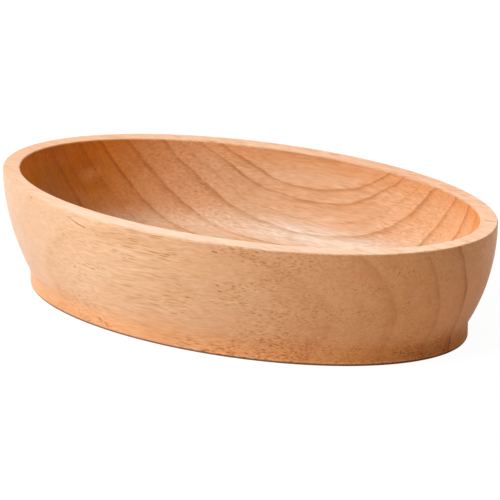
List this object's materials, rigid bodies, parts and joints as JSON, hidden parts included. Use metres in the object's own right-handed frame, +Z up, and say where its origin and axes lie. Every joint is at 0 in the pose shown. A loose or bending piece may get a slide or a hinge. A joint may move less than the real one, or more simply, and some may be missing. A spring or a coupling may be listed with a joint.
{
  "type": "dough bowl",
  "caption": "Oval wooden bowl with a curved wall, flat rim, coved hollow and low upright foot, carved from solid wood, for dough, bread or fruit.",
  "frame": {"origin": "middle of the foot's flat underside, on the surface that the bowl stands on", "axes": "+X along the bowl's length, +Y across it, +Z up out of the hollow"},
  "size_m": [0.28, 0.157, 0.064],
  "materials": {
    "wood": "satin, oiled"
  },
  "bodies": {
    "root": {"bowl": "wood"}
  },
  "joints": []
}
